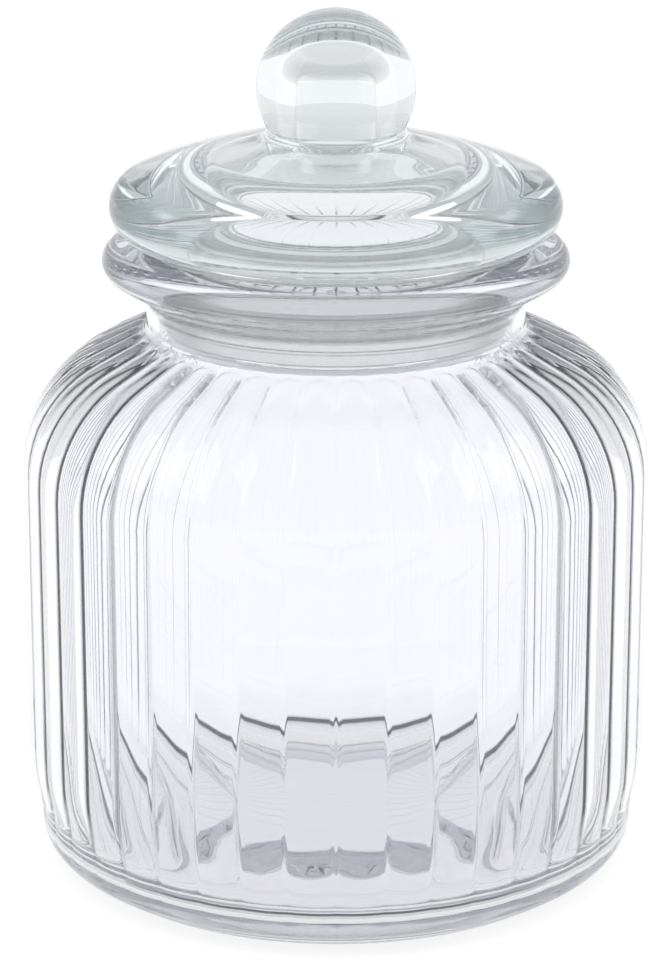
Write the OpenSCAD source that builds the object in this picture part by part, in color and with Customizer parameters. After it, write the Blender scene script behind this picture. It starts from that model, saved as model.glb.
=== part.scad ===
// Lidded glass canister: a ribbed jar with a flared lip, a pressed glass lid with a hollow ball
// knob, and the soft sealing ring that sits round the lid's plug.
// All sizes are in millimetres. The jar rests on z = 0 and its axis is the Z axis.

/* [Jar body] */
// Outside diameter of the jar over the rib crests
jar_d = 175; // [146:1:212]
// Height of the jar from its resting face to the top of its lip
jar_h = 177.5; // [145:0.5:240]
// Glass thickness of the side wall at a rib crest
wall_t = 4.2; // [3.4:0.1:5.4]
// Radius of the rounded shoulder
shoulder_radius = 36; // [24:1:38]
// Slope of the shoulder where it runs up to the neck, in degrees above level
shoulder_slope = 26; // [16:1:32]

/* [Ribs] */
// Number of vertical ribs round the body
rib_count = 42; // [24:1:52]
// Depth of the groove between two ribs
groove_depth = 1.1; // [0.6:0.1:1.8]
// Width of that groove
groove_width = 1.6; // [0.8:0.1:4]
// Smooth glass left between the end of a groove and the neck
groove_stop = 1.6; // [1:0.1:4]

/* [Base] */
// How far the ring that the jar stands on is set in from the wall
foot_inset = 12.5; // [11:0.5:16]
// Width of that ring
foot_width = 11; // [7:0.5:14]
// Height of the ring below the rounded heel
foot_h = 2.5; // [1.5:0.1:4]
// Radius of the rounded heel
heel_radius = 9.5; // [6:0.5:10.5]
// Height at which the body reaches its full diameter
flare_h = 30; // [24:1:40]
// Height of the floor beside the wall
floor_z = 8; // [7:0.5:12]
// Height of the raised middle of the floor
kick_z = 15; // [13:0.5:18]
// Distance from the inside of the foot ring in to the raised middle of the floor
kick_margin = 22; // [16:1:30]
// Thickness of the glass in the floor
floor_t = 6; // [4:0.5:6.4]
// Radius inside the jar between floor and wall
inner_corner = 12; // [8:1:14]

/* [Neck and lip] */
// Diameter of the mouth
mouth_d = 97; // [80:0.5:118]
// Glass thickness of the neck
neck_t = 3.9; // [3:0.1:5]
// Height from the foot of the neck to the top of the lip
neck_h = 23; // [19:0.5:28]
// How far the lip reaches out from the neck
lip_reach = 12.1; // [9:0.1:14]
// Radius of the lip's rounded edge
lip_edge = 4.5; // [3.5:0.1:5]
// Slope of the lip's underside, in degrees above level
lip_slope = 30; // [22:1:36]
// Chamfer round the inside of the mouth
mouth_chamfer = 1.5; // [0.5:0.1:2]

/* [Lid] */
// How far the lid's edge is set in from the lip's edge
lid_inset = 2.2; // [0:0.1:4]
// Radius of the lid's rounded edge
lid_edge = 9; // [7:0.5:10]
// Radius of the lid's domed top
dome_radius = 145; // [110:5:220]
// Thickness of the glass under the dome
dome_t = 8; // [6:0.5:9]
// Space between the plug and the inside of the neck, which the sealing ring fills
seal_room = 3.5; // [2.6:0.1:4.5]
// Glass thickness of the plug
plug_t = 5; // [4:0.5:6]
// Depth of the plug below the lid
plug_h = 28; // [16:0.5:30]
// How far the plug's end bead stands out below the sealing ring
bead_out = 1.3; // [0.8:0.1:1.4]
// Height of the end bead
bead_h = 3.2; // [2.4:0.1:4]

/* [Knob] */
// Diameter of the ball knob
knob_d = 43.6; // [38:0.2:48]
// Height of the ball's centre above the lid's underside
knob_rise = 41; // [37:0.5:46]
// Diameter of the stem under the ball
stem_d = 38; // [32:0.5:40]
// Radius between the stem and the dome
stem_fillet = 3.5; // [2:0.5:5]
// Diameter of the hollow inside the knob
bore_d = 22.4; // [18:0.2:25]
// Height of the hollow's ceiling above the ball's centre
bore_rise = 6; // [2:0.5:9]
// Radius round the hollow's ceiling
bore_corner = 5; // [3:0.5:7]

/* [Sealing ring] */
// Thickness of the flange between the lip and the lid
flange_t = 1.5; // [1:0.1:2.4]
// How far the flange reaches out from the plug
flange_w = 9; // [6:0.5:12]
// Thickness of the sleeve round the plug
sleeve_t = 1.3; // [1:0.1:1.6]
// Number of fins that wipe the inside of the neck
fin_count = 3; // [2:1:4]
// Thickness of a fin at its root
fin_t = 1.2; // [0.8:0.1:1.6]

/* [Clearances] */
// Gap between the fins and the inside of the neck
neck_gap = 0.3; // [0.2:0.05:0.5]
// Running gap between the sealing ring and the plug
plug_gap = 0.1; // [0.05:0.01:0.15]
// Gap between the sleeve's end and the plug's bead
bead_gap = 0.2; // [0.1:0.05:0.4]

/* [Hidden] */
$fn = 96;

past = 1;                // how far a cutting shape runs past the face that it cuts
foot_edge = 1.5;         // chamfer on the foot ring's outer edge
foot_lean = 2;           // how far the foot ring's inner side leans in
wall_drop = 5;           // width of the sloping side of the raised floor

jar_r = jar_d / 2;
foot_r = jar_r - foot_inset;
foot_inner_r = foot_r - foot_width;
mouth_r = mouth_d / 2;
neck_r = mouth_r + neck_t;
lip_r = neck_r + lip_reach;
kick_r = foot_inner_r - kick_margin;

// Shoulder: an arc from the wall, then a straight slope up to the neck.
arc_angle = 90 - shoulder_slope;
arc_x = jar_r - shoulder_radius;
arc_end_x = arc_x + shoulder_radius * cos(arc_angle);
neck_foot_z = jar_h - neck_h;
arc_z = neck_foot_z - (arc_end_x - neck_r) * tan(shoulder_slope) - shoulder_radius * sin(arc_angle);
arc_end_z = arc_z + shoulder_radius * sin(arc_angle);
slope_length = (arc_end_x - neck_r) / cos(shoulder_slope);

// The same shoulder on the inside of the glass.
inner_r = jar_r - wall_t;
inner_arc = shoulder_radius - wall_t;
inner_end_x = arc_x + inner_arc * cos(arc_angle);
inner_end_z = arc_z + inner_arc * sin(arc_angle);
inner_neck_z = inner_end_z + (inner_end_x - mouth_r) * tan(shoulder_slope);

heel_x = foot_r;
heel_z = foot_h + heel_radius;

// Lip: a rounded edge, and an underside tangent to it.
lip_x = lip_r - lip_edge;
lip_z = jar_h - lip_edge;
lip_tangent_x = lip_x + lip_edge * sin(lip_slope);
lip_tangent_z = lip_z - lip_edge * cos(lip_slope);
lip_foot_z = lip_tangent_z - (lip_tangent_x - neck_r) * tan(lip_slope);

// Lid: the edge circle lies inside the dome's circle and touches it.
lid_z = jar_h + flange_t;
edge_x = lip_r - lid_inset - lid_edge;
edge_z = lid_z + lid_edge;
dome_z = edge_z - sqrt(pow(dome_radius - lid_edge, 2) - pow(edge_x, 2));
edge_tilt = atan2(edge_z - dome_z, edge_x);
plug_r = mouth_r - seal_room;
plug_end_z = lid_z - plug_h;
knob_r = knob_d / 2;
knob_z = lid_z + knob_rise;
stem_r = stem_d / 2;
bore_r = bore_d / 2;
bore_top_z = knob_z + bore_rise;
fillet_x = stem_r + stem_fillet;
fillet_z = dome_z + sqrt(pow(dome_radius, 2) - pow(fillet_x, 2)) + stem_fillet;

// Sealing ring.
sleeve_inner_r = plug_r + plug_gap;
sleeve_outer_r = sleeve_inner_r + sleeve_t;
sleeve_end_z = plug_end_z + bead_h + bead_gap;
fin_tip_r = mouth_r - neck_gap;
fin_pitch = (jar_h - mouth_chamfer - sleeve_end_z) / fin_count;
first_fin = 0.45;        // the first fin's height above the sleeve's end, as a share of the pitch

// Side view of one groove's cut: all that lies outside its floor line, which keeps one depth below
// the wall, the shoulder's arc and the slope, and stops short of the neck.
module groove_outline() {
    floor_r = jar_r - groove_depth;
    floor_arc = shoulder_radius - groove_depth;
    floor_end_x = arc_x + floor_arc * cos(arc_angle);
    floor_end_z = arc_z + floor_arc * sin(arc_angle);
    stop_x = neck_r + groove_stop;
    top_z = neck_foot_z + past;
    difference() {
        translate([stop_x, foot_h]) square([jar_r + past - stop_x, top_z - foot_h]);
        polygon([
            [0, 0], [floor_r, 0], [floor_r, arc_z], [arc_x, arc_z], [floor_end_x, floor_end_z],
            [0, floor_end_z + floor_end_x * tan(shoulder_slope)]
        ]);
        translate([arc_x, arc_z]) circle(floor_arc);
    }
}

module groove() {
    rotate([90, 0, 0])
        linear_extrude(height = groove_width, center = true) groove_outline();
}

// Half section of the jar's outside, filled in to the axis.
module jar_outside() {
    union() {
        polygon([
            [0, 0], [foot_r - foot_edge, 0], [foot_r, foot_edge], [foot_r, heel_z],
            [heel_x + heel_radius, heel_z], [jar_r, flare_h], [jar_r, arc_z], [arc_x, arc_z],
            [arc_end_x, arc_end_z], [neck_r, neck_foot_z], [neck_r, lip_foot_z],
            [lip_tangent_x, lip_tangent_z], [lip_x, lip_z], [lip_x, jar_h], [0, jar_h]
        ]);
        translate([heel_x, heel_z]) circle(heel_radius);
        translate([arc_x, arc_z]) circle(shoulder_radius);
        translate([lip_x, lip_z]) circle(lip_edge);
    }
}

// Half section of the space inside the jar.
module jar_inside() {
    corner_x = inner_r - inner_corner;
    corner_z = floor_z + inner_corner;
    union() {
        polygon([
            [0, kick_z], [kick_r, kick_z], [kick_r + 2 * wall_drop, floor_z], [corner_x, floor_z],
            [corner_x, corner_z], [inner_r, corner_z], [inner_r, arc_z], [arc_x, arc_z],
            [inner_end_x, inner_end_z], [mouth_r, inner_neck_z], [mouth_r, jar_h - mouth_chamfer],
            [mouth_r + mouth_chamfer, jar_h], [mouth_r + mouth_chamfer, jar_h + past],
            [0, jar_h + past]
        ]);
        translate([corner_x, corner_z]) circle(inner_corner);
        translate([arc_x, arc_z]) circle(inner_arc);
    }
}

// Half section of the hollow under the jar, inside its foot ring.
module jar_underside() {
    under_z = floor_z - floor_t;
    polygon([
        [0, -past], [foot_inner_r, -past], [foot_inner_r, 0], [foot_inner_r - foot_lean, under_z],
        [kick_r + wall_drop, under_z], [kick_r, kick_z - floor_t], [0, kick_z - floor_t]
    ]);
}

module jar() {
    color([0.84, 0.91, 0.91, 0.45])
    difference() {
        rotate_extrude() difference() {
            jar_outside();
            jar_inside();
            jar_underside();
        }
        for (i = [0 : rib_count - 1])
            rotate([0, 0, (i + 0.5) * 360 / rib_count]) groove();
    }
}

// Half section of the lid's outside, with its plug and knob, filled in to the axis.
module lid_outside() {
    union() {
        intersection() {
            translate([0, dome_z]) circle(dome_radius, $fn = 360);
            polygon([
                [0, edge_z], [edge_x, edge_z],
                [edge_x + 2 * lid_edge * cos(edge_tilt), edge_z + 2 * lid_edge * sin(edge_tilt)],
                [0, edge_z + dome_radius]
            ]);
        }
        translate([0, lid_z]) square([edge_x, lid_edge]);
        translate([edge_x, edge_z]) circle(lid_edge);
        translate([0, plug_end_z]) square([plug_r, plug_h]);
        translate([0, plug_end_z]) square([plug_r + bead_out, bead_h]);
        intersection() {
            translate([0, knob_z]) circle(knob_r);
            translate([0, knob_z - knob_r]) square(2 * knob_r);
        }
        translate([0, edge_z]) square([stem_r, knob_z - edge_z]);
        difference() {
            translate([0, edge_z]) square([fillet_x, fillet_z - edge_z]);
            translate([fillet_x, fillet_z]) circle(stem_fillet);
        }
    }
}

// Half section of the hollow in the plug and the knob, open from below.
module lid_inside() {
    hollow_r = plug_r - plug_t;
    union() {
        intersection() {
            translate([0, dome_z]) circle(dome_radius - dome_t, $fn = 360);
            translate([0, plug_end_z - past]) square([hollow_r, dome_radius]);
        }
        translate([0, plug_end_z]) square([bore_r, bore_top_z - bore_corner - plug_end_z]);
        translate([0, plug_end_z]) square([bore_r - bore_corner, bore_top_z - plug_end_z]);
        translate([bore_r - bore_corner, bore_top_z - bore_corner]) circle(bore_corner);
    }
}

module lid() {
    color([0.80, 0.86, 0.87, 0.5])
    rotate_extrude() difference() {
        lid_outside();
        lid_inside();
    }
}

// Half section of one fin, which thins towards its tip. Its root runs into the sleeve.
module fin_section() {
    root_r = sleeve_outer_r - sleeve_t / 2;
    polygon([
        [root_r, 0], [sleeve_outer_r, 0], [fin_tip_r, fin_t / 2], [fin_tip_r, fin_t],
        [root_r, fin_t]
    ]);
}

module seal_ring() {
    color([0.93, 0.94, 0.93])
    rotate_extrude() union() {
        translate([sleeve_inner_r, sleeve_end_z]) square([sleeve_t, lid_z - sleeve_end_z]);
        translate([sleeve_inner_r, jar_h]) square([flange_w, flange_t]);
        for (i = [0 : fin_count - 1])
            translate([0, sleeve_end_z + (i + first_fin) * fin_pitch]) fin_section();
    }
}

jar();
seal_ring();
lid();
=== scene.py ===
"""Looks of a lidded glass canister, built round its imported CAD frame.

Laid out as an add-on: one operator models each piece of glass or plastic as it would be turned on a
lathe, from an outline with rounded corners, and one sets the table, the light and the camera.
"""

import math

import bpy
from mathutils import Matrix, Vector


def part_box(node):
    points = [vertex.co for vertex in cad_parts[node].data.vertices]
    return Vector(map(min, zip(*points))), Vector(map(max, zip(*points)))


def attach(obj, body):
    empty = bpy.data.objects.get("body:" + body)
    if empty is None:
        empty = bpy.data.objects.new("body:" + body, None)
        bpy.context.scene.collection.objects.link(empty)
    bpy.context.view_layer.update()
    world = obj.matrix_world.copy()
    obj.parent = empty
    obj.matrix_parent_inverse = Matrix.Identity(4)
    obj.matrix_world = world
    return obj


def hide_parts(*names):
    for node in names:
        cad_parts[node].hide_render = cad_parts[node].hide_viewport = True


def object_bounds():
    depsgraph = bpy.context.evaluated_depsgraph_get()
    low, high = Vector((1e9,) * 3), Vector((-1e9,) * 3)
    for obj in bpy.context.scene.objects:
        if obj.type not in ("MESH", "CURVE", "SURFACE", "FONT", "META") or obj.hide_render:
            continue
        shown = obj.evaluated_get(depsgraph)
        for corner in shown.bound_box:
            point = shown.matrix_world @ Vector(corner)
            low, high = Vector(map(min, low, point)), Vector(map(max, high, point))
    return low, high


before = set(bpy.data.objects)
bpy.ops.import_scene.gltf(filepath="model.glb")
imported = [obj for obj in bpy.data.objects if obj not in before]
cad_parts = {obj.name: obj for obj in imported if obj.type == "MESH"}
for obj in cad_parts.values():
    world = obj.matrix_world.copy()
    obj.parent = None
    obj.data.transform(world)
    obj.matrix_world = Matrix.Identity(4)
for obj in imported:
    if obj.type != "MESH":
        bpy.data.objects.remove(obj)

bl_info = {
    "name": "Glass canister",
    "version": (1, 0, 0),
    "blender": (4, 5, 0),
    "location": "3D View > Sidebar > Canister",
    "description": "Models a ribbed glass jar, its knobbed lid and its sealing ring",
    "category": "Add Mesh",
}

CAD_LOW, CAD_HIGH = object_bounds()
JAR_LOW, JAR_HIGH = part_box("jar")
LID_LOW, LID_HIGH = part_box("lid")
RING_LOW, RING_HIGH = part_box("seal_ring")
MM = 0.001
SKIN = 0.02 * MM  # how far inside the CAD surface a turned surface stays
GLASS_IOR = 1.52
# Painted shade: the heel line and the groove lines set below are dark colour painted into the jar
# glass.
HEEL_LINE_RISE = 1.2 * MM  # from the top of the standing ring up to the dark line round the heel
HEEL_LINE_HALF = 1.28 * MM  # half the width of that line
LINE_CORE = 0.375  # share of a line's width that is fully dark
LINE_FOOT = 12 * MM  # height at which the dark line in a groove begins
LINE_STOP = (2 * MM, 4 * MM)  # how far below the neck's foot it has ended, and is still full
SIDE_FACING = (0.24, 0.42)  # how far aside a groove faces where its line begins, and where it is full
# Painted shade: where the glass mirrors this share of light, its colour is painted darker.
RIM_GLOSS = (0.35, 1.0)  # share of light mirrored where the dark rim begins, and where it is full


def linear(hex_colour):
    """Turns an sRGB hex colour such as "#DDE6E5" into linear red, green and blue."""
    channels = [int(hex_colour[i : i + 2], 16) / 255 for i in (1, 3, 5)]
    return tuple(c / 12.92 if c <= 0.04045 else ((c + 0.055) / 1.055) ** 2.4 for c in channels)


def length(name, description, millimetres):
    """A length in the sidebar, given in millimetres."""
    return bpy.props.FloatProperty(
        name=name, description=description, default=millimetres * MM, unit="LENGTH", precision=4
    )


def colour(name, description, hex_colour):
    """A colour in the sidebar, given as sRGB hex."""
    return bpy.props.FloatVectorProperty(
        name=name, description=description, default=linear(hex_colour), subtype="COLOR", size=3
    )


# --- Sizes and colours that a user would change ---------------------------------------------------


class JarSizes(bpy.types.PropertyGroup):
    """The blown jar."""

    wall: length("Wall", "Glass thickness of the side wall at a rib crest", 4.2)
    ribs: bpy.props.IntProperty(name="Ribs", description="Number of vertical ribs", default=42)
    rib_depth: length("Rib depth", "Depth of the groove between two ribs", 1.1)
    rib_round: bpy.props.FloatProperty(
        name="Rib roundness", description="Share of the depth that lies in the rib's rounded face",
        default=0.8,
    )
    groove_width: length("Groove width", "Width of the groove between two ribs", 2.8)
    rib_foot: length("Rib foot", "Height at which the ribs begin to rise from the heel", 9)
    rib_stop: length("Rib stop", "From the neck to the rounded end of a rib", 2.6)
    rib_stop_round: length("Rib stop rounding", "How much further back the end's sides lie", 2.2)
    rib_stop_slope: length("Rib stop slope", "Half the length over which the end slopes down", 1.1)
    shoulder_radius: length("Shoulder radius", "Radius of the rounded shoulder", 36)
    shoulder_slope: bpy.props.FloatProperty(
        name="Shoulder slope", description="Slope of the shoulder at the neck",
        default=math.radians(26), subtype="ANGLE",
    )
    foot_inset: length("Foot inset", "How far the standing ring lies inside the wall", 12.5)
    foot_width: length("Foot width", "Width of the standing ring", 11)
    foot_height: length("Foot height", "Height of the standing ring", 2.5)
    heel_radius: length("Heel radius", "Radius of the rounded heel", 9.5)
    flare_height: length("Flare height", "Height at which the wall stands straight", 30)
    floor_height: length("Floor height", "Height of the floor beside the wall", 8)
    kick_height: length("Kick height", "Height of the raised middle of the floor", 15)
    kick_margin: length("Kick margin", "From the standing ring in to the raised middle", 22)
    kick_side: length("Kick side", "Width of the sloping side of the raised middle", 5)
    floor_wall: length("Floor wall", "Glass thickness of the floor", 6)
    corner: length("Inner corner", "Radius between floor and wall inside", 12)
    mouth: length("Mouth", "Diameter of the mouth", 97)
    neck_wall: length("Neck wall", "Glass thickness of the neck", 3.9)
    neck_height: length("Neck height", "From the foot of the neck to the lip's top", 23)
    lip_reach: length("Lip reach", "How far the lip stands out from the neck", 12.1)
    lip_edge: length("Lip edge", "Radius of the lip's rounded edge", 4.5)
    lip_slope: bpy.props.FloatProperty(
        name="Lip slope", description="Slope of the lip's underside",
        default=math.radians(30), subtype="ANGLE",
    )


class LidSizes(bpy.types.PropertyGroup):
    """The pressed lid with its knob."""

    edge: length("Edge radius", "Radius of the lid's rounded edge", 9)
    dome_radius: length("Dome radius", "Radius of the domed top", 145)
    dome_wall: length("Dome wall", "Glass thickness under the dome", 8)
    plug: length("Plug", "Diameter of the plug in the neck", 90)
    plug_wall: length("Plug wall", "Glass thickness of the plug", 5)
    bead: length("Bead", "How far the bead at the plug's end stands out", 1.3)
    bead_height: length("Bead height", "Height of that bead", 3.2)
    knob: length("Knob", "Diameter of the ball knob", 43.6)
    stem: length("Stem", "Diameter of the stem under the ball", 38)
    stem_fillet: length("Stem fillet", "Radius between stem and dome", 3.5)
    hollow: length("Knob hollow", "Diameter of the hollow in the knob", 22.4)
    hollow_rise: length("Hollow rise", "Height of its ceiling above the ball's centre", 6)
    hollow_corner: length("Hollow corner", "Radius round its ceiling", 5)


class RingSizes(bpy.types.PropertyGroup):
    """The soft sealing ring."""

    sleeve: length("Sleeve", "Thickness of the sleeve round the plug", 1.3)
    flange: length("Flange", "Thickness of the flange between lip and lid", 1.5)
    air: length("Air", "Film of air between the flange and the glass above and below it", 0.12)
    fins: bpy.props.IntProperty(name="Fins", description="Number of wiping fins", default=3)
    fin: length("Fin", "Thickness of a fin at its root", 1.2)
    fin_tip: length("Fin tip", "Radius at the tips of the fins", 48.2)
    first_fin: bpy.props.FloatProperty(
        name="First fin", description="Height of the first fin, as a share of the step between fins",
        default=0.45,
    )
    top_room: length("Top room", "Bare sleeve between the flange and the highest step", 1.5)
    play: length("Play", "Gap between sleeve and plug", 0.1)


class Looks(bpy.types.PropertyGroup):
    """Colours of glass, plastic and table, and of the painted shade on the glass."""

    jar_tint: colour("Jar tint", "Tint of the blown glass", "#F8F8FB")
    lid_tint: colour("Lid tint", "Tint of the pressed glass", "#F6F8F8")
    # Painted shade: the glass's base colour turns to this where the glass turns away from the eye, and
    # along the painted lines on the jar.
    rim_shade: colour("Rim", "Colour that glass takes where it turns away", "#15181C")
    deep_jar: colour("Deep jar glass", "Colour that thick blown glass takes", "#B2B6BE")
    deep_lid: colour("Deep lid glass", "Colour that thick pressed glass takes", "#B4C4C8")
    ring_tint: colour("Ring tint", "Colour of the soft plastic", "#F8F8F6")
    table: colour("Table", "Colour of the table", "#A8A8A8")


class StageSizes(bpy.types.PropertyGroup):
    """The camera, the table and the soft boxes."""

    pitch: bpy.props.FloatProperty(
        name="Pitch", description="How far the camera looks down",
        default=math.radians(17.2), subtype="ANGLE",
    )
    distance: length("Distance", "From the camera to the point it looks at", 1000)
    target: length("Target height", "Height of the point that the camera looks at", 108.5)
    lens: bpy.props.FloatProperty(
        name="Lens", description="Focal length in millimetres on a 36 mm sensor", default=133.5
    )
    table: length("Table", "Width of the table", 24000)
    box_side: length("Soft box", "Side of each soft box", 1000)
    box_out: length("Soft box out", "How far out to the side each soft box stands", 1300)
    box_forward: length("Soft box forward", "How far in front of the canister it stands", 200)
    box_height: length("Soft box height", "Height of each soft box", 900)
    box_power: bpy.props.FloatProperty(
        name="Soft box power", description="Power of each soft box in watts", default=3
    )


# --- Turning on the lathe ------------------------------------------------------------------------


def rounded(corners, arc_step=8 * MM, arc_turn=math.radians(4)):
    """The outline through corners (radius, height, rounding, spacing), with every corner rounded.

    Spacing is the longest step along the straight stretch that leads to the corner. Round a corner
    no step turns further than arc_turn, and none is longer than arc_step.
    """
    points = [Vector(corners[0][:2])]
    for i in range(1, len(corners)):
        here = Vector(corners[i][:2])
        spacing = corners[i][3] if len(corners[i]) > 3 else 8 * MM
        rounding = corners[i][2] if i < len(corners) - 1 else 0
        arc = [here]
        if rounding:
            back = (Vector(corners[i - 1][:2]) - here).normalized()
            ahead = (Vector(corners[i + 1][:2]) - here).normalized()
            half = back.angle(ahead) / 2
            turn = math.pi - 2 * half
            centre = here + (back + ahead).normalized() * (rounding / math.sin(half))
            first = here + back * (rounding / math.tan(half)) - centre
            side = 1 if back.x * ahead.y - back.y * ahead.x > 0 else -1
            steps = max(2, math.ceil(turn / arc_turn), math.ceil(turn * rounding / arc_step))
            arc = []
            for k in range(steps + 1):
                a = side * -turn * k / steps
                spun = Vector((
                    first.x * math.cos(a) - first.y * math.sin(a),
                    first.x * math.sin(a) + first.y * math.cos(a),
                ))
                arc.append(centre + spun)
        run = arc[0] - points[-1]
        pieces = max(1, math.ceil(run.length / spacing))
        start = points[-1].copy()
        points += [start + run * (k / pieces) for k in range(1, pieces)]
        points += arc
    return points


def draw_outline(name, points):
    """Draws an outline in the XZ plane: a plane merged to one vertex, then extruded on and on."""
    bpy.ops.object.select_all(action="DESELECT")
    bpy.ops.mesh.primitive_plane_add(size=MM)
    piece = bpy.context.object
    piece.name = name
    piece.data.name = name
    bpy.ops.object.mode_set(mode="EDIT")
    bpy.ops.mesh.select_all(action="SELECT")
    bpy.ops.mesh.merge(type="CENTER")
    bpy.ops.transform.translate(value=(points[0].x, 0, points[0].y))
    for before, after in zip(points, points[1:]):
        step = after - before
        bpy.ops.mesh.extrude_vertices_move(TRANSFORM_OT_translate={"value": (step.x, 0, step.y)})
    bpy.ops.object.mode_set(mode="OBJECT")
    return piece


def turn_wedge(turns):
    """Spins the outline round the Z axis through each turn (steps, angle), one after the other."""
    bpy.ops.object.mode_set(mode="EDIT")
    bpy.ops.mesh.select_all(action="SELECT")
    for steps, angle in turns:
        bpy.ops.mesh.spin(steps=steps, angle=angle, center=(0, 0, 0), axis=(0, 0, 1))
    bpy.ops.object.mode_set(mode="OBJECT")


def close_turn(piece, wedges):
    """Repeats the wedge all the way round and closes it into one skin that faces outwards."""
    bpy.ops.object.empty_add(rotation=(0, 0, math.tau / wedges))
    next_wedge = bpy.context.object
    bpy.ops.object.select_all(action="DESELECT")
    piece.select_set(True)
    bpy.context.view_layer.objects.active = piece
    apply_modifier(
        piece, "ARRAY", count=wedges, use_relative_offset=False, use_object_offset=True,
        offset_object=next_wedge,
    )
    bpy.ops.object.mode_set(mode="EDIT")
    bpy.ops.mesh.select_all(action="SELECT")
    bpy.ops.mesh.remove_doubles(threshold=2e-6)
    bpy.ops.mesh.normals_make_consistent(inside=False)
    bpy.ops.object.mode_set(mode="OBJECT")
    bpy.ops.object.shade_smooth_by_angle(angle=math.radians(60))
    bpy.ops.object.select_all(action="DESELECT")
    next_wedge.select_set(True)
    bpy.ops.object.delete()
    piece.select_set(True)
    bpy.context.view_layer.objects.active = piece


def apply_modifier(piece, kind, **settings):
    """Adds a modifier with its settings and applies it."""
    bpy.ops.object.modifier_add(type=kind)
    modifier = piece.modifiers[-1]
    for key, value in settings.items():
        setattr(modifier, key, value)
    bpy.ops.object.modifier_apply(modifier=modifier.name)


def smooth_step(value, low, high):
    """Rises smoothly from 0 at low to 1 at high."""
    t = min(1, max(0, (value - low) / (high - low)))
    return t * t * (3 - 2 * t)


# --- Materials -----------------------------------------------------------------------------------


def add_node(tree, kind, inputs=None, **settings):
    """Adds a node, sets it up, and fills or links its inputs."""
    node = tree.nodes.new(kind)
    for key, value in settings.items():
        setattr(node, key, value)
    for name, value in (inputs or {}).items():
        if isinstance(value, bpy.types.NodeSocket):
            tree.links.new(value, node.inputs[name])
        else:
            node.inputs[name].default_value = value
    return node


def new_material(name):
    """A material with nothing in it but its output."""
    material = bpy.data.materials.new(name)
    material.use_nodes = True
    tree = material.node_tree
    tree.nodes.clear()
    return material, tree, add_node(tree, "ShaderNodeOutputMaterial")


def painted_shade_lines(tree, place, jar):
    """Where painted shade draws thin dark lines on the jar, in place of the dark that its sharp
    grooves
    and its heel would bend in: along the middle of each groove that faces aside, and round the heel. 1
    on a line, 0 beside it."""
    spot = add_node(tree, "ShaderNodeSeparateXYZ", {"Vector": place.outputs["Object"]}).outputs
    level = add_node(
        tree, "ShaderNodeMapping", {"Vector": place.outputs["Object"], "Scale": (1, 1, 0)}
    ).outputs["Vector"]
    around = add_node(tree, "ShaderNodeMath", {0: spot["Y"], 1: spot["X"]}, operation="ARCTAN2")
    turn = add_node(
        tree, "ShaderNodeMath", {0: around.outputs[0], 1: jar.ribs / 2}, operation="MULTIPLY"
    )
    wave = add_node(tree, "ShaderNodeMath", {0: turn.outputs[0]}, operation="COSINE")
    off_groove = add_node(tree, "ShaderNodeMath", {0: wave.outputs[0]}, operation="ABSOLUTE")
    outward = add_node(
        tree, "ShaderNodeVectorTransform", {"Vector": level},
        vector_type="NORMAL", convert_from="OBJECT", convert_to="WORLD",
    )
    aside = add_node(
        tree, "ShaderNodeLayerWeight", {"Blend": 0.5, "Normal": outward.outputs["Vector"]}
    )
    heel_line = jar.foot_height + HEEL_LINE_RISE
    above_heel = add_node(tree, "ShaderNodeMath", {0: spot["Z"], 1: heel_line}, operation="SUBTRACT")
    off_heel = add_node(tree, "ShaderNodeMath", {0: above_heel.outputs[0]}, operation="ABSOLUTE")
    radius = add_node(tree, "ShaderNodeVectorMath", {"Vector": level}, operation="LENGTH")

    groove_edge = jar.groove_width / JAR_HIGH.x * jar.ribs / 4
    neck_foot = JAR_HIGH.z - jar.neck_height
    foot_r = JAR_HIGH.x - jar.foot_inset
    # Each line is the product of what it depends on: (value, where it is 0, where it is 1).
    groove_line = (
        (off_groove.outputs[0], groove_edge, groove_edge * LINE_CORE),
        (spot["Z"], LINE_FOOT, jar.flare_height),
        (spot["Z"], neck_foot - LINE_STOP[0], neck_foot - LINE_STOP[1]),
        (aside.outputs["Facing"], *SIDE_FACING),
    )
    heel_edge = (
        (off_heel.outputs[0], HEEL_LINE_HALF, HEEL_LINE_HALF * LINE_CORE),
        (radius.outputs["Value"], foot_r - jar.foot_width, foot_r - 2 * MM),
    )
    # Painted shade: the stronger of the two lines at each spot is the mask that darkens the glass's
    # colour.
    dark = 0.0
    for line in (groove_line, heel_edge):
        strength = 1.0
        for value, none_at, full_at in line:
            share = add_node(
                tree, "ShaderNodeMapRange", {"Value": value, "From Min": none_at, "From Max": full_at}
            )
            strength = add_node(
                tree, "ShaderNodeMath", {0: strength, 1: share.outputs["Result"]}, operation="MULTIPLY"
            ).outputs[0]
        dark = add_node(tree, "ShaderNodeMath", {0: dark, 1: strength}, operation="MAXIMUM").outputs[0]
    return dark


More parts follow.
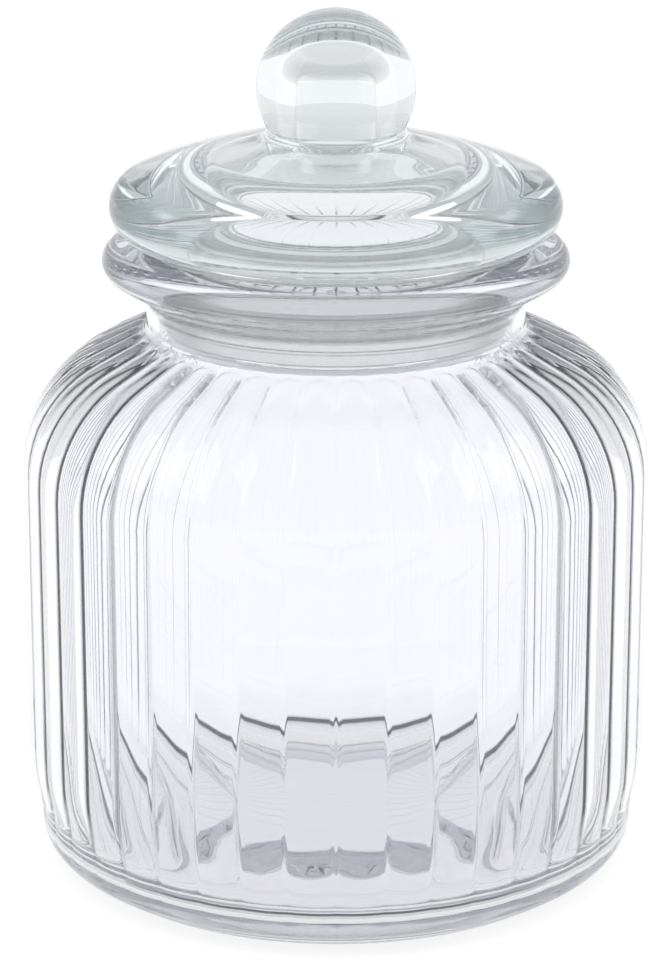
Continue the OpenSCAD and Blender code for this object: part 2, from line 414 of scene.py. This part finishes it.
def soda_lime_glass(name, tint, rim_shade, deep, density, wave, wave_height, jar=None):
    """Fire-polished soda-lime glass: clear and glossy, with slow waves left by the mould, painted
    shade that darkens it where it turns away from the eye (and, on a jar, in thin lines along its
    grooves and round its heel), and a grey cast where it is thick. The waves are wave long and up to
    wave_height high; density is how fast thick glass takes the deep colour."""
    material, tree, output = new_material(name)
    place = add_node(tree, "ShaderNodeTexCoord")
    drawn = add_node(
        tree, "ShaderNodeMapping",
        {"Vector": place.outputs["Object"], "Scale": (1 / wave, 1 / wave, 0.4 / wave)},
    )
    waves = add_node(
        tree, "ShaderNodeTexNoise",
        {"Vector": drawn.outputs["Vector"], "Scale": 1.0, "Detail": 1.5, "Roughness": 0.4},
    )
    surface = add_node(
        tree, "ShaderNodeBump",
        {"Height": waves.outputs["Fac"], "Strength": 1.0, "Distance": wave_height},
    )
    cast = add_node(
        tree, "ShaderNodeMix",
        {0: waves.outputs["Fac"], 6: (*tint, 1), 7: (*[c * 0.985 for c in tint], 1)},
        data_type="RGBA",
    )
    gloss = add_node(
        tree, "ShaderNodeFresnel", {"IOR": GLASS_IOR, "Normal": surface.outputs["Normal"]}
    )
    # Painted shade: the base colour is mixed towards the dark shade colour where the glass mirrors
    # much light, and along the jar's painted lines.
    turning = add_node(
        tree, "ShaderNodeMapRange",
        {"Value": gloss.outputs["Fac"], "From Min": RIM_GLOSS[0], "From Max": RIM_GLOSS[1]},
    )
    dark = turning.outputs["Result"]
    if jar:
        lines = painted_shade_lines(tree, place, jar)
        dark = add_node(tree, "ShaderNodeMath", {0: dark, 1: lines}, operation="MAXIMUM").outputs[0]
    edged = add_node(
        tree, "ShaderNodeMix",
        {0: dark, 6: cast.outputs[2], 7: (*rim_shade, 1)}, data_type="RGBA",
    )
    shader = add_node(
        tree, "ShaderNodeBsdfPrincipled",
        {
            "Base Color": edged.outputs[2], "Roughness": 0.0, "IOR": GLASS_IOR,
            "Transmission Weight": 1.0, "Normal": surface.outputs["Normal"],
        },
    )
    depth = add_node(tree, "ShaderNodeVolumeAbsorption", {"Color": (*deep, 1), "Density": density})
    tree.links.new(shader.outputs["BSDF"], output.inputs["Surface"])
    tree.links.new(depth.outputs["Volume"], output.inputs["Volume"])
    return material


def soft_clear_plastic(tint):
    """Moulded soft plastic left its natural colour: milky, half see-through, with a dull sheen."""
    material, tree, output = new_material("natural soft plastic, moulded")
    place = add_node(tree, "ShaderNodeTexCoord")
    grain = add_node(
        tree, "ShaderNodeTexNoise",
        {"Vector": place.outputs["Object"], "Scale": 1 / (1.5 * MM), "Detail": 2.0},
    )
    cloud = add_node(
        tree, "ShaderNodeMix",
        {0: grain.outputs["Fac"], 6: (*tint, 1), 7: (*[c * 0.94 for c in tint], 1)},
        data_type="RGBA",
    )
    surface = add_node(
        tree, "ShaderNodeBump",
        {"Height": grain.outputs["Fac"], "Strength": 0.4, "Distance": 0.03 * MM},
    )
    shader = add_node(
        tree, "ShaderNodeBsdfPrincipled",
        {
            "Base Color": cloud.outputs[2], "Roughness": 0.15, "IOR": 1.5,
            "Transmission Weight": 0.95, "Normal": surface.outputs["Normal"],
        },
    )
    tree.links.new(shader.outputs["BSDF"], output.inputs["Surface"])
    return material


def finish_piece(piece, material, body, node):
    """Gives a turned piece its material and its place in the frame."""
    piece.data.materials.clear()
    piece.data.materials.append(material)
    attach(piece, body)
    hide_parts(node)


# --- The pieces ----------------------------------------------------------------------------------


def jar_outline(jar):
    """The jar's section, from the axis under the floor, up the outside, and down the inside."""
    wall_r = JAR_HIGH.x - SKIN
    top = JAR_HIGH.z
    inner_r = wall_r - jar.wall
    foot_r = wall_r - jar.foot_inset
    foot_inner_r = foot_r - jar.foot_width
    kick_r = foot_inner_r - jar.kick_margin
    kick_foot_r = kick_r + jar.kick_side
    mouth_r = jar.mouth / 2
    neck_r = mouth_r + jar.neck_wall
    lip_r = neck_r + jar.lip_reach
    slope = math.tan(jar.shoulder_slope)
    neck_foot = top - jar.neck_height
    shoulder_top = neck_foot - (wall_r - neck_r) * slope
    bend = (math.pi / 2 - jar.shoulder_slope) / 2
    inner_shoulder_top = shoulder_top - jar.wall * math.tan(bend)
    inner_neck_foot = inner_shoulder_top + (inner_r - mouth_r) * slope
    under = jar.floor_height - jar.floor_wall
    lip_bend = math.pi / 4 - jar.lip_slope / 2
    lip_low = top - jar.lip_edge - jar.lip_edge * math.tan(lip_bend)
    lip_foot = lip_low - jar.lip_reach * math.tan(jar.lip_slope)
    heel_top = jar.foot_height + jar.heel_radius
    heel_r = foot_r + jar.heel_radius
    return [
        (0, jar.kick_height - jar.floor_wall),
        (kick_r, jar.kick_height - jar.floor_wall, 3 * MM, 14 * MM),
        (kick_foot_r, under, 3 * MM),
        (foot_inner_r - 1 * MM, under, 1 * MM),
        (foot_inner_r, 0, 0.8 * MM),
        (foot_r, 0, 1.8 * MM),
        (foot_r, jar.foot_height, 0.5 * MM),
        (heel_r, jar.foot_height, jar.heel_radius * 0.98),
        (heel_r, heel_top + 4 * MM, 30 * MM),
        (wall_r, jar.flare_height, 40 * MM, 2.5 * MM),
        (wall_r, shoulder_top, jar.shoulder_radius, 8 * MM),
        (neck_r, neck_foot, 1.6 * MM, 1.1 * MM),
        (neck_r, lip_foot, 5 * MM),
        (lip_r, lip_low, jar.lip_edge * 0.98),
        (lip_r, top, jar.lip_edge * 0.98),
        (mouth_r, top, 1.6 * MM),
        (mouth_r, inner_neck_foot, 6 * MM),
        (inner_r, inner_shoulder_top, jar.shoulder_radius - jar.wall),
        (inner_r, jar.floor_height, jar.corner, 12 * MM),
        (kick_foot_r + jar.kick_side, jar.floor_height, 6 * MM),
        (kick_r, jar.kick_height, 6 * MM),
        (0, jar.kick_height, 0, 14 * MM),
    ]


def rib_valley(jar, spot):
    """How deep the valley between two ribs is at a spot on the outside, from 0 to 1.

    The ribs stand on the valley's level: they fade out in the heel, and end round below the neck.
    """
    wave = abs(math.cos(jar.ribs / 2 * math.atan2(spot.y, spot.x)))
    from_valley = math.asin(min(1, wave)) * JAR_HIGH.x / (jar.ribs / 2)
    wall = min(1, from_valley / (jar.groove_width / 2))
    crest = jar.rib_round * wave + (1 - jar.rib_round) * wall
    neck_r = jar.mouth / 2 + jar.neck_wall
    to_neck = (math.hypot(spot.x, spot.y) - neck_r) / math.cos(jar.shoulder_slope)
    stop = jar.rib_stop + jar.rib_stop_round * (1 - wave)
    standing = smooth_step(to_neck, stop - jar.rib_stop_slope, stop + jar.rib_stop_slope)
    from_heel = smooth_step(spot.z, jar.rib_foot, jar.flare_height)
    from_neck = smooth_step(to_neck, 0.2 * MM, 2 * MM)
    return from_heel * from_neck * (1 - crest * standing)


class CANISTER_OT_jar(bpy.types.Operator):
    """Turn the jar, press its ribs and give it blown glass"""

    bl_idname = "canister.jar"
    bl_label = "Jar"

    def execute(self, context):
        jar = context.scene.canister_jar
        looks = context.scene.canister_looks
        points = rounded(jar_outline(jar), 4 * MM, math.radians(15))
        piece = draw_outline("jar_glass", points)
        ribbed = piece.vertex_groups.new(name="ribbed")
        neck_foot = JAR_HIGH.z - jar.neck_height
        outside = next(i for i, point in enumerate(points) if point.y > neck_foot)
        ribbed.add(list(range(outside)), 1.0, "REPLACE")
        # One rib from crest to crest, with closer steps in the groove between.
        crest, groove = (math.tau / jar.ribs * share for share in (0.36, 0.28))
        turn_wedge([(3, crest), (6, groove), (3, crest)])
        for vertex in piece.data.vertices:
            if vertex.groups:
                ribbed.add([vertex.index], rib_valley(jar, vertex.co), "REPLACE")
        close_turn(piece, jar.ribs)
        apply_modifier(
            piece, "DISPLACE", direction="NORMAL", mid_level=0.0,
            strength=-jar.rib_depth, vertex_group="ribbed",
        )
        glass = soda_lime_glass(
            "soda-lime glass, mould blown", looks.jar_tint, looks.rim_shade, looks.deep_jar,
            density=8, wave=26 * MM, wave_height=0.08 * MM, jar=jar,
        )
        finish_piece(piece, glass, "jar", "jar")
        return {"FINISHED"}


def lid_outline(lid):
    """The lid's section, from the knob's top, over the dome and the edge, and up the hollow."""
    low = LID_LOW.z
    under = RING_HIGH.z
    lid_r = LID_HIGH.x
    edge_x = lid_r - lid.edge
    edge_z = under + lid.edge
    dome_z = edge_z - math.sqrt((lid.dome_radius - lid.edge) ** 2 - edge_x**2)
    plug_r = lid.plug / 2
    hollow_r = plug_r - lid.plug_wall
    knob_r = lid.knob / 2
    knob_z = LID_HIGH.z - knob_r
    stem_r = lid.stem / 2
    bore_r = lid.hollow / 2
    ceiling = knob_z + lid.hollow_rise

    def dome(r, thickness=0.0):
        return dome_z + math.sqrt((lid.dome_radius - thickness) ** 2 - r * r)

    def arc(cx, cz, radius, start, end, steps):
        angles = [math.radians(start + (end - start) * k / steps) for k in range(steps + 1)]
        return [Vector((cx + radius * math.cos(a), cz + radius * math.sin(a))) for a in angles]

    meet = math.degrees(math.asin(min(1, stem_r / knob_r)))
    fillet_x = stem_r + lid.stem_fillet
    fillet_z = dome(fillet_x) + lid.stem_fillet
    tilt = math.degrees(math.atan2(edge_z - dome_z, edge_x))
    knob = arc(0, knob_z, knob_r, 90, -(90 - meet), 44)
    knob[0].x = 0
    fillet = arc(fillet_x, fillet_z, lid.stem_fillet, 180, 262, 12)
    last_r = fillet[-1].x
    reach = edge_x + lid.edge * math.cos(math.radians(tilt)) - last_r
    top = [Vector((last_r + reach * k / 14, dome(last_r + reach * k / 14))) for k in range(1, 14)]
    edge = arc(edge_x, edge_z, lid.edge, tilt, -90, 36)
    below = rounded([
        (edge_x, under), (plug_r, under, 1.0 * MM), (plug_r, low + lid.bead_height, 0.5 * MM),
        (plug_r + lid.bead, low + lid.bead_height, 0.8 * MM), (plug_r + lid.bead, low, 1.4 * MM),
        (hollow_r, low, 2.2 * MM), (hollow_r, dome(hollow_r, lid.dome_wall), 10 * MM),
        (bore_r + 9 * MM, dome(bore_r + 9 * MM, lid.dome_wall), 60 * MM, 6 * MM),
        (bore_r, dome(bore_r, lid.dome_wall) + 0.5 * MM, 5 * MM),
        (bore_r - 0.4 * MM, ceiling, lid.hollow_corner), (0, ceiling + 0.6 * MM, 0, 4 * MM),
    ])
    return knob + fillet + top + edge + below[1:]


class CANISTER_OT_lid(bpy.types.Operator):
    """Turn the lid with its knob and plug and give it pressed glass"""

    bl_idname = "canister.lid"
    bl_label = "Lid"

    def execute(self, context):
        scene = context.scene
        looks = scene.canister_looks
        piece = draw_outline("lid_glass", lid_outline(scene.canister_lid))
        turn_wedge([(20, math.tau / 12)])
        close_turn(piece, 12)
        glass = soda_lime_glass(
            "soda-lime glass, pressed", looks.lid_tint, looks.rim_shade, looks.deep_lid,
            density=5, wave=20 * MM, wave_height=0.1 * MM,
        )
        finish_piece(piece, glass, "lid", "lid")
        return {"FINISHED"}


class CANISTER_OT_ring(bpy.types.Operator):
    """Turn the sealing ring with its flange and fins and give it soft plastic"""

    bl_idname = "canister.ring"
    bl_label = "Sealing ring"

    def execute(self, context):
        scene = context.scene
        ring = scene.canister_ring
        inner = scene.canister_lid.plug / 2 + ring.play
        outer = inner + ring.sleeve
        low, high = RING_LOW.z, RING_HIGH.z - ring.air
        step = (high - ring.flange - ring.top_room - low) / ring.fins
        corners = [(inner, low + 1 * MM), (inner, low, 0.3 * MM), (outer, low, 0.3 * MM)]
        for i in range(ring.fins):
            root = low + (i + ring.first_fin) * step
            corners += [
                (outer, root, 0.3 * MM), (ring.fin_tip, root + ring.fin / 2, 0.2 * MM),
                (ring.fin_tip, root + ring.fin, 0.2 * MM), (outer, root + ring.fin, 0.3 * MM),
            ]
        flange_r = RING_HIGH.x - SKIN
        flange_z = RING_HIGH.z - ring.flange + ring.air
        corners += [
            (outer, flange_z, 0.4 * MM), (flange_r, flange_z, 0.6 * MM),
            (flange_r, high, 0.6 * MM), (inner, high, 0.3 * MM), (inner, low + 1 * MM),
        ]
        piece = draw_outline("seal_ring_soft", rounded(corners, arc_turn=math.radians(20)))
        turn_wedge([(20, math.tau / 12)])
        close_turn(piece, 12)
        plastic = soft_clear_plastic(scene.canister_looks.ring_tint)
        finish_piece(piece, plastic, "seal", "seal_ring")
        return {"FINISHED"}


# --- Table, light and camera ---------------------------------------------------------------------


def white_card(tone):
    """Matt white card, glowing a little, so that the table is as pale as the studio behind it."""
    material, tree, output = new_material("matt white card")
    shader = add_node(
        tree, "ShaderNodeBsdfPrincipled",
        {
            "Base Color": (*tone, 1), "Roughness": 0.9,
            "Emission Color": (1, 1, 1, 1), "Emission Strength": 0.8,
        },
    )
    tree.links.new(shader.outputs["BSDF"], output.inputs["Surface"])
    return material


def pale_studio():
    """A studio that is nearly white at table height and greyer overhead."""
    world = bpy.data.worlds.new("studio")
    world.use_nodes = True
    tree = world.node_tree
    tree.nodes.clear()
    way = add_node(tree, "ShaderNodeTexCoord")
    part = add_node(tree, "ShaderNodeSeparateXYZ", {"Vector": way.outputs["Generated"]})
    tone = add_node(tree, "ShaderNodeValToRGB", {"Fac": part.outputs["Z"]})
    level, overhead = tone.color_ramp.elements
    level.position, level.color = 0.0, (0.95, 0.95, 0.96, 1)
    overhead.position, overhead.color = 0.6, (0.71, 0.72, 0.73, 1)
    light = add_node(tree, "ShaderNodeBackground", {"Color": tone.outputs["Color"]})
    out = add_node(tree, "ShaderNodeOutputWorld")
    tree.links.new(light.outputs["Background"], out.inputs["Surface"])
    return world


def soft_box(name, side, stage):
    """A square lamp that faces the canister from one side: -1 is left, 1 is right."""
    place = Vector((side * stage.box_out, -stage.box_forward, stage.box_height))
    bpy.ops.object.light_add(type="AREA", location=place)
    lamp = bpy.context.object
    lamp.name = name
    lamp.data.size = stage.box_side
    lamp.data.energy = stage.box_power
    aim = Vector((0, 0, CAD_HIGH.z / 2)) - place
    lamp.rotation_euler = aim.to_track_quat("-Z", "Y").to_euler()


class CANISTER_OT_stage(bpy.types.Operator):
    """Set the table, the soft light and the camera"""

    bl_idname = "canister.stage"
    bl_label = "Table, light and camera"

    def execute(self, context):
        scene = context.scene
        stage = scene.canister_stage
        bpy.ops.object.select_all(action="DESELECT")
        bpy.ops.mesh.primitive_plane_add(size=stage.table, location=(0, 0, 0))
        table = context.object
        table.name = "table"
        table.data.materials.append(white_card(scene.canister_looks.table))
        scene.world = pale_studio()
        soft_box("left soft box", -1, stage)
        soft_box("right soft box", 1, stage)

        bpy.ops.object.camera_add(
            location=(
                0, -stage.distance * math.cos(stage.pitch),
                stage.target + stage.distance * math.sin(stage.pitch),
            ),
            rotation=(math.pi / 2 - stage.pitch, 0, 0),
        )
        camera = context.object
        camera.name = "camera"
        camera.data.sensor_width = 36
        camera.data.lens = stage.lens
        scene.camera = camera
        scene.view_settings.view_transform = "Standard"
        # Light caught in thick glass is mirrored many times before it comes out.
        scene.cycles.max_bounces = 48
        scene.cycles.transmission_bounces = 48
        scene.cycles.glossy_bounces = 48
        scene.cycles.diffuse_bounces = 3
        return {"FINISHED"}


class CANISTER_PT_sidebar(bpy.types.Panel):
    """Lists the canister's pieces in the sidebar"""

    bl_idname = "CANISTER_PT_sidebar"
    bl_label = "Glass canister"
    bl_space_type = "VIEW_3D"
    bl_region_type = "UI"
    bl_category = "Canister"

    def draw(self, context):
        for group, kind in GROUPS.items():
            box = self.layout.box()
            for name in kind.__annotations__:
                box.prop(getattr(context.scene, group), name)
        for operator in OPERATORS:
            self.layout.operator(operator.bl_idname)


GROUPS = {
    "canister_jar": JarSizes, "canister_lid": LidSizes, "canister_ring": RingSizes,
    "canister_looks": Looks, "canister_stage": StageSizes,
}
OPERATORS = (CANISTER_OT_jar, CANISTER_OT_lid, CANISTER_OT_ring, CANISTER_OT_stage)


def register():
    for kind in (*GROUPS.values(), *OPERATORS, CANISTER_PT_sidebar):
        bpy.utils.register_class(kind)
    for name, kind in GROUPS.items():
        setattr(bpy.types.Scene, name, bpy.props.PointerProperty(type=kind))


def unregister():
    for name in GROUPS:
        delattr(bpy.types.Scene, name)
    for kind in reversed((*GROUPS.values(), *OPERATORS, CANISTER_PT_sidebar)):
        bpy.utils.unregister_class(kind)


def main():
    register()
    bpy.ops.canister.jar()
    bpy.ops.canister.lid()
    bpy.ops.canister.ring()
    bpy.ops.canister.stage()


if __name__ == "__main__":
    main()
